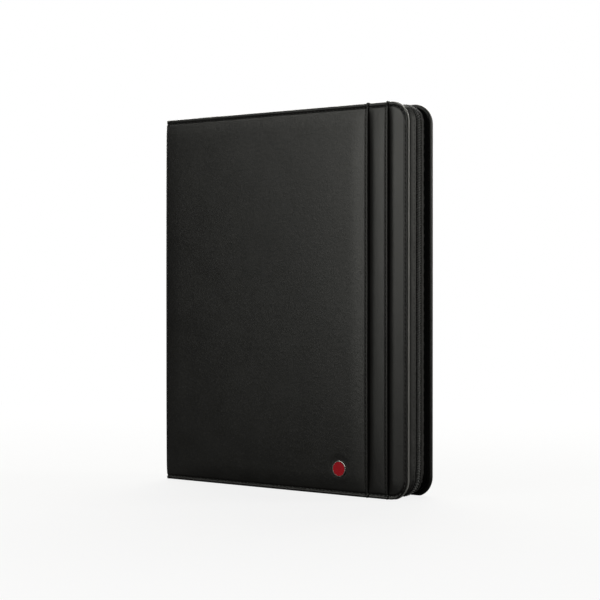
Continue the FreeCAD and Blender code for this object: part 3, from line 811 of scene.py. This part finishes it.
def gusset_section(side, lining_y, count=15):
    """The bowed band from the cover lining to its folded edge beside the zip."""
    crown_y = ZIP_Y + side * ZIP_EDGE
    reach = abs(lining_y - crown_y)
    points = []
    for radius, way in ((GUSSET_R, -1), (GUSSET_INNER_R, 1)):
        limit = math.asin(reach / radius)
        points += [(GUSSET_CENTRE_N - radius * math.cos(a), crown_y + side * radius * math.sin(a))
                   for a in np.linspace(0, limit, count)[::way]]
    middle = GUSSET_CENTRE_N - 0.5 * (GUSSET_R + GUSSET_INNER_R)
    half = 0.5 * (GUSSET_R - GUSSET_INNER_R)
    fold = [(middle + half * math.cos(a), crown_y - side * half * math.sin(a))
            for a in np.linspace(math.pi, 0, 6)[1:-1]]
    return np.array(points[:count] + fold + points[count:])


def gusset_waver(side):
    """The unevenness of a gusset's leather, by the distance away from its folded edge."""
    def waver(run, y, corner):
        away = side * (y - ZIP_Y) - ZIP_EDGE
        seam = bump(away - GUSSET_STITCH, 0.55) * (0.3 + 0.12 * np.cos(2 * math.pi * run / PITCH))
        crease_line = 0.12 * bump(away - 5.2, 0.5) * (0.6 + 0.4 * np.sin(run / 37.0))
        folds = (0.14 + 0.4 * corner) * np.sin(run / 4.1 + 1.3 * np.sin(run / 23.0))
        folds = folds * np.clip(away / 4, 0, 1)
        folds *= np.clip((9 - away) / 6, 0, 1) * (0.35 + 0.65 * np.sin(run / 61.0) ** 2)
        ripple = np.sin(run / 1.15 + 1.6 * np.sin(run / 13.0))
        edge = 0.12 * ripple * np.clip(1.5 - away, 0, 1)
        if side < 0:
            tuck = 0.9 * bump(away - 7.8, 0.8)
        else:
            turned_in = 2.2 * rise(away - RECESS_START - 0.5 * ripple, 2.4, 1.6)
            back_out = 6.4 * np.clip((away - 7.5) / 4.1, 0, 1) ** 1.5
            tuck = turned_in - back_out
        return seam + crease_line + folds + tuck, side * edge
    return waver


def gusset(name, node, body, side, lining):
    low, high = span(lining)
    section = gusset_section(side, high[1] if side < 0 else low[1])
    track = stations(span(node)[0][0], 1.0, 30)
    piece = sweep(name, section, track, MATERIALS["gusset_leather"], body, gusset_waver(side), bowed=1.0)
    # Painted shade: the back gusset's faces past its turn-in take the near-black leather, which stands in
    # for the shadow of the recess under the back cover.
    if side > 0:
        piece.data.materials.append(MATERIALS["painted_shade_leather"])
        for face in piece.data.polygons:
            face.material_index = int(face.center.y / MM > ZIP_Y + ZIP_EDGE + RECESS_START)
    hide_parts(node)


def tape(name, node, body, side):
    """Woven tape from under the coil to under the gusset's folded edge. The front one dips on its way."""
    crown_y = ZIP_Y + side * ZIP_EDGE
    near_y = ZIP_Y + side * 1.1
    section = []
    for radius, way in ((GUSSET_INNER_R - 0.03, 1), (GUSSET_INNER_R - 0.45, -1)):
        line = [(GUSSET_CENTRE_N - radius, y) for y in np.linspace(near_y, crown_y, 6)[:-1]]
        line += [(GUSSET_CENTRE_N - radius * math.cos(a), crown_y + side * radius * math.sin(a))
                 for a in np.linspace(0, math.radians(35), 7)]
        section += line[::way]

    def waver(run, y, corner):
        away = side * (y - ZIP_Y)
        loose = np.clip(away / ZIP_EDGE, 0, 1) * np.clip(1.6 - side * (y - crown_y) / 2, 0, 1)
        folds = 0.22 * (0.4 + corner) * loose * (1 + np.sin(run / 2.3 + np.sin(run / 17.0)))
        dip = (1.7 if side < 0 else 0.0) * bump(away - 3.7, 1.0)
        raised = 0.75 * np.clip((2.9 - away) / 0.7, 0, 1)
        return folds + dip - raised, 0

    track = stations(span(node)[0][0], 1.0, 26)
    piece = sweep(name, np.array(section), track, MATERIALS["zip_tape"], body, waver, bowed=1.0)
    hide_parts(node)


COIL_PITCH = 2.15
COIL_N = 1.58
COIL_TURN_DEPTH = 0.8
COIL_TURN_REACH = 1.25
COIL_OFFSET = 1.0
COIL_R = 0.42
COIL_POINTS = 12


def coil(name, node, body, side, phase):
    """One half of the zip chain: a monofilament wound round the tape's edge."""
    start_x = span(node)[0][0]
    base, inward, run = stations(start_x, 0.5, 60)
    base = base - inward * bow(base)[:, None]
    turns = int(run[-1] / COIL_PITCH)
    along = np.arange(turns * COIL_POINTS + 1) / COIL_POINTS * COIL_PITCH
    x, z, way_x, way_z = (np.interp(along, run, values) for values in (*base.T, *inward.T))
    turn = 2 * math.pi * (along / COIL_PITCH + phase)
    n = COIL_N - COIL_TURN_DEPTH * np.cos(turn)
    y = ZIP_Y + side * (COIL_OFFSET - COIL_TURN_REACH * np.sin(turn))
    centre = np.stack([x + n * way_x, y, z + n * way_z], 1)
    piece = tube(name, centre, COIL_R, MATERIALS["zip_coil"], body)
    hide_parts(node)


def tube(name, centre, radius, material, body, count=6):
    """A tube along a line of points."""
    tangent = np.gradient(centre, axis=0)
    tangent /= np.linalg.norm(tangent, axis=1)[:, None]
    side = np.cross(tangent, np.array([0.31, 0.55, 0.77]))
    side /= np.linalg.norm(side, axis=1)[:, None]
    other = np.cross(tangent, side)
    angles = np.arange(count) * 2 * math.pi / count
    ring = np.cos(angles)[None, :, None] * side[:, None] + np.sin(angles)[None, :, None] * other[:, None]
    points = centre[:, None] + radius * ring
    faces = grid_faces(len(centre), count, closed=True)
    faces += [tuple(range(count)), tuple(range((len(centre) - 1) * count, len(centre) * count))]
    return collect(name, points, faces, material, body)


# Stitching

def stitches(name, centres, ways, outs, body, radius=THREAD_R):
    """Short rounded threads that dip into the leather at both ends.

    ends lists (share of the length from the middle, lift, share of the radius), from the middle outwards.
    """
    centres, ways, outs = (np.asarray(v, float) for v in (centres, ways, outs))
    across = np.cross(ways, outs)
    ends = ((0.15, 0.08, 1.0), (0.42, -0.08, 0.9), (0.5, -0.42, 0.4))
    shape = [(-along, lift, girth) for along, lift, girth in reversed(ends)] + list(ends)
    points = np.zeros((len(centres), len(shape), 6, 3))
    for k, (along, lift, girth) in enumerate(shape):
        for m in range(6):
            a = math.pi / 3 * m
            outward = lift + radius * girth * math.sin(a)
            sideways = radius * girth * math.cos(a)
            points[:, k, m] = centres + STITCH * along * ways + outward * outs + sideways * across
    faces = []
    per = 6 * len(shape)
    for i in range(len(centres)):
        faces += grid_faces(len(shape), 6, closed=True, first=i * per)
        faces += [tuple(range(i * per, i * per + 6)), tuple(range(i * per + per - 6, i * per + per))]
    collect(name, points, faces, MATERIALS["thread"], body)


def pitched(low, high):
    """The middles of whole stitches between two places, in step with the puckers of a stitch line."""
    return (np.arange(math.ceil(low / PITCH), math.floor(high / PITCH)) + 0.5) * PITCH


def panel_stitches(name, edge_x, start_x, level, relief):
    """Stitches beside a pocket's free edge and along the top and bottom rims of its panel."""
    rows = [(edge_x - HEM_STITCH, z, (0, 0, 1)) for z in pitched(RIM_STITCH, HEIGHT - RIM_STITCH)]
    for z in (RIM_STITCH, HEIGHT - RIM_STITCH):
        rows += [(x, z, (1, 0, 0)) for x in pitched(start_x, edge_x)]
    x, z = np.array([row[:2] for row in rows]).T
    outward = level + relief(x, z)
    ways = [row[2] for row in rows]
    stitches(name, on_front(x, outward, z), ways, [(0, -1, 0)] * len(rows), "front_cover")


def rim_stitch_places():
    """Stitches round a cover's three open sides as (x, z, way, n)."""
    places = []
    turn_x = RIGHT - CORNER_R
    for x in pitched(FOLD_X + 2, turn_x):
        places.append((x, RIM_STITCH, (1, 0, 0), RIM_STITCH))
    for k in range(6):
        a = math.pi / 2 * (k + 0.5) / 6
        n = float(stitch_inset(turn_x + (CORNER_R - 3) * math.sin(a)))
        reach = CORNER_R - n
        places.append((turn_x + reach * math.sin(a), CORNER_R - reach * math.cos(a),
                       (math.cos(a), 0, math.sin(a)), n))
    places += [(x, HEIGHT - z, (way[0], 0, -way[2]), n) for x, z, way, n in list(places)]
    for z in pitched(CORNER_R, HEIGHT - CORNER_R):
        places.append((RIGHT - SIDE_STITCH, z, (0, 0, 1), SIDE_STITCH))
    return places


def cover_stitches(name, level, relief, place, out, body, from_x):
    places = [p for p in rim_stitch_places() if p[0] > from_x]
    x, z, n = (np.array([p[k] for p in places]) for k in (0, 1, 3))
    centres = place(x, level + relief(x, z, n), z)
    stitches(name, centres, [p[2] for p in places], [out] * len(places), body)


def spine_stitches():
    y, z = np.meshgrid(pitched(FRONT_CREASE_Y, BACK_CREASE_Y), (RIM_STITCH, HEIGHT - RIM_STITCH))
    y, z = y.ravel(), z.ravel()
    centres = on_spine(y, SPINE_LEVEL + spine_relief(y, z), z)
    stitches("spine_stitches", centres, [(0, 1, 0)] * len(y), [(-1, 0, 0)] * len(y), "spine")


def gusset_stitches(name, body, side):
    base, inward, run = stations(span("front_gusset")[0][0], 1.0, 30)
    base = base - inward * bow(base)[:, None]
    along = pitched(2, run[-1] - 2)
    x, z, way_x, way_z = (np.interp(along, run, values) for values in (*base.T, *inward.T))
    n = GUSSET_CENTRE_N - math.sqrt(GUSSET_R ** 2 - GUSSET_STITCH ** 2) + 0.2
    y = ZIP_Y + side * (ZIP_EDGE + GUSSET_STITCH)
    outs = np.stack([-way_x, 0 * along, -way_z], 1)
    outs /= np.linalg.norm(outs, axis=1)[:, None]
    ways = np.stack([outs[:, 2], 0 * along, -outs[:, 0]], 1)
    centres = np.stack([x + n * way_x, y + 0 * along, z + n * way_z], 1)
    stitches(name, centres, ways, outs, body, radius=FINE_THREAD_R)


# Pockets inside

def pocket(node, side, body, hem=8.0):
    """A patch pocket: sewn down on three sides, with a turned hem along its mouth at the top."""
    low, high = span(node)
    fullness = 0.6
    depth = high[1] - low[1]
    base_y = low[1] if side > 0 else high[1]
    thickness = min(0.9, 0.45 * depth)
    sewn = min(depth, thickness + 0.25)
    full = max(depth - sewn, 0.0)

    def relief(z, x):
        inside = np.minimum(x - low[0], high[0] - x) - POCKET_STITCH
        down = rise(inside, 9.0) * rise(z - low[2] - POCKET_STITCH, 11.0)
        mouth = full * (0.8 + 0.2 * np.cos((x - low[0]) / (high[0] - low[0]) * math.pi * 2))
        swell = full * down * fullness + (mouth - full * fullness) * down * rise(z - high[2] + 40, 40, 1.2)
        hem_line = bump(high[2] - hem - z, 0.5) * (0.18 + 0.08 * np.cos(2 * math.pi * x / PITCH))
        return swell - np.minimum(hem_line + bump(inside, 0.45) * 0.2, 0.3)

    def place(z, outward, x):
        return np.stack([x, base_y + side * outward, z], -1)

    front = steps((low[2], 0.8), (low[2] + 14, 2.6), (high[2] - hem - 3, 0.6), (high[2], 1))
    rows = edge_rows(sewn, low[0], high[0], sewn * 0.9, min(0.4, sewn * 0.4), ((0.8, 0.5), (12.0, 2.2)))
    name = node + "_leather"
    piece = sheet_mesh(name, rows, hemmed_columns(front, thickness, 8), relief, place,
                       MATERIALS["pocket_leather"], body)
    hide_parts(node)
    sew = []
    for x in (low[0] + POCKET_STITCH, high[0] - POCKET_STITCH):
        sew += [(x, z, (0, 0, 1)) for z in pitched(low[2] + 2, high[2] - 1)]
    for z in (low[2] + POCKET_STITCH, high[2] - hem):
        sew += [(x, z, (1, 0, 0)) for x in pitched(low[0] + 2, high[0] - 2)]
    x, z = np.array([row[:2] for row in sew]).T
    centres = place(z, sewn + relief(z, x), x)
    outs = [(0, side, 0)] * len(sew)
    stitches(name + "_stitches", centres, [row[2] for row in sew], outs, body, radius=FINE_THREAD_R)


def organiser():
    pocket("document_pocket", 1, "front_cover", hem=12.0)
    for number in (1, 2, 3, 4):
        pocket("card_slot_%d" % number, 1, "front_cover", hem=2.6)
    pocket("phone_pocket", 1, "front_cover")
    pocket("gadget_pocket", 1, "front_cover")
    pocket("pad_sleeve", -1, "back_cover")


# Camera, lights and floor

def aim(thing, place, direction):
    thing.location = place
    thing.rotation_mode = "QUATERNION"
    thing.rotation_quaternion = direction.to_track_quat("-Z", "Y")


def camera():
    data = bpy.data.cameras.new("camera")
    data.lens = 92.8
    data.sensor_width = 36.0
    view = new_object("camera", data)
    aim(view, (0.845, -1.125, 0.180), Vector((-0.5965, 0.8026, -0.007)))
    bpy.context.scene.camera = view


def area_light(name, place, target, size, power):
    data = bpy.data.lights.new(name, "AREA")
    data.shape = "RECTANGLE"
    data.size, data.size_y = size
    data.energy = power
    data.color = (1.0, 1.0, 0.93)
    aim(new_object(name, data), place, Vector(target) - Vector(place))


def seen_and_lighting(tree, output, seen, lighting):
    """The camera sees one shader, and everything else is lit by the other."""
    paths = new_node(tree, "LightPath")
    mix = new_node(tree, "MixShader")
    tree.links.new(paths.outputs["Is Camera Ray"], mix.inputs["Fac"])
    tree.links.new(lighting, mix.inputs[1])
    tree.links.new(seen, mix.inputs[2])
    tree.links.new(mix.outputs["Shader"], tree.nodes[output].inputs["Surface"])


def studio():
    area_light("key_light", (-0.45, -1.7, 0.74), (0.0, 0.0, 0.2), (0.8, 1.3), 11.6)
    area_light("edge_light", (1.05, -1.7, 0.7), (0.1, 0.0, 0.2), (0.4, 0.7), 6.0)
    area_light("rim_light", (-1.4, -1.5, 1.5), (0.0, 0.0, 0.3), (0.5, 0.4), 3.0)
    area_light("side_light", (1.6, 1.1, 0.8), (0.1, 0.0, 0.2), (0.6, 1.2), 16.0)
    area_light("back_light", (-1.3, 1.7, 1.5), (0.0, 0.0, 0.2), (1.2, 1.0), 30.0)
    area_light("rear_light", (-0.5, 2.2, 0.9), (-0.1, 0.0, 0.2), (1.1, 1.1), 26.0)
    area_light("spine_light", (-2.0, 0.9, 0.9), (-0.1, 0.0, 0.2), (0.9, 1.0), 16.0)
    world = bpy.data.worlds.new("studio")
    bpy.context.scene.world = world
    world.use_nodes = True
    tree = world.node_tree
    seen = new_node(tree, "Background", Color=(1, 1, 1, 1), Strength=1.0)
    fill = tree.nodes["Background"]
    set_inputs(fill, Color=(1, 1, 1, 1), Strength=0.04)
    seen_and_lighting(tree, "World Output", seen.outputs["Background"], fill.outputs["Background"])


def floor_material():
    """A pale floor that runs out to white. It shines less on the leather than it shows to the eye."""
    near, tree, coords = new_material("floor")
    tone = ramp_node(tree, noise_node(tree, coords, 30.0), (0.82, 0.82, 0.82), (0.84, 0.84, 0.84))
    tree.links.new(tone, near.inputs["Base Color"])
    set_inputs(near, Roughness=0.9, Specular_IOR_Level=0.1)
    white = new_node(tree, "Emission", Color=(1, 1, 1, 1), Strength=1.0)
    dim = new_node(tree, "BsdfDiffuse", Color=(0.1, 0.1, 0.1, 1))
    away = new_node(tree, "VectorMath")
    away.operation = "LENGTH"
    tree.links.new(coords, away.inputs[0])
    shown = new_node(tree, "MixShader")
    fade = range_node(tree, away.outputs["Value"], 0.84, 1.0, start=0.2, end=1.1)
    tree.links.new(fade, shown.inputs["Fac"])
    tree.links.new(near.outputs["BSDF"], shown.inputs[1])
    tree.links.new(white.outputs["Emission"], shown.inputs[2])
    seen_and_lighting(tree, "Material Output", shown.outputs["Shader"], dim.outputs["BSDF"])


def floor():
    floor_material()
    half = 40000.0
    points = [(-half, -half, 0), (half, -half, 0), (half, half, 0), (-half, half, 0)]
    collect("floor", points, [(0, 1, 2, 3)], MATERIALS["floor"])


camera()
make_materials()
dress_cad_nodes()
main_panel()
middle_panel()
front_shell()
back_shell()
spine_leather()
crease("front_crease_leather", "front_crease", FRONT_CREASE_Y, -1, MAIN_LEVEL, main_relief)
crease("back_crease_leather", "back_crease", BACK_CREASE_Y, 1, BACK_LEVEL, back_rim)
fold_lining("front_fold_lining", span("front_lining")[1][1], -1, bulb_y=2.5)
fold_lining("back_fold_lining", span("back_lining")[0][1], 1, bulb_y=1.4)
# The front bead's light grey leather is a painted highlight along the piping's edge.
piping("front_piping_bead", "front_piping", "front_cover", "piping_leather", n=0.1, radius=0.75,
       shift_y=0.15)
# Painted shade: the back piping bead takes the near-black leather, which stands in for the shadow of the
# recess it sits in.
piping("back_piping_bead", "back_piping", "back_cover", "painted_shade_leather", n=1.6, radius=0.8)
gusset("front_gusset_leather", "front_gusset", "front_cover", -1, "front_lining")
gusset("back_gusset_leather", "back_gusset", "back_cover", 1, "back_lining")
tape("front_zip_tape_cloth", "front_zip_tape", "front_cover", -1)
tape("back_zip_tape_cloth", "back_zip_tape", "back_cover", 1)
coil("front_zip_coil_winding", "front_zip_coil", "front_cover", -1, phase=0.0)
coil("back_zip_coil_winding", "back_zip_coil", "back_cover", 1, phase=0.5)
panel_stitches("main_panel_stitches", MAIN_EDGE_X, FOLD_X, MAIN_LEVEL, main_relief)
panel_stitches("middle_panel_stitches", MIDDLE_EDGE_X, MAIN_EDGE_X, MIDDLE_LEVEL, middle_relief)
cover_stitches("front_cover_stitches", SHELL_LEVEL, shell_relief, on_front, (0, -1, 0), "front_cover",
               MIDDLE_EDGE_X)
cover_stitches("back_cover_stitches", BACK_LEVEL, back_relief, on_back, (0, 1, 0), "back_cover", FOLD_X)
spine_stitches()
gusset_stitches("front_gusset_stitches", "front_cover", -1)
gusset_stitches("back_gusset_stitches", "back_cover", 1)
organiser()
studio()
floor()
bpy.context.scene.view_settings.view_transform = "Standard"

bpy.context.view_layer.update()
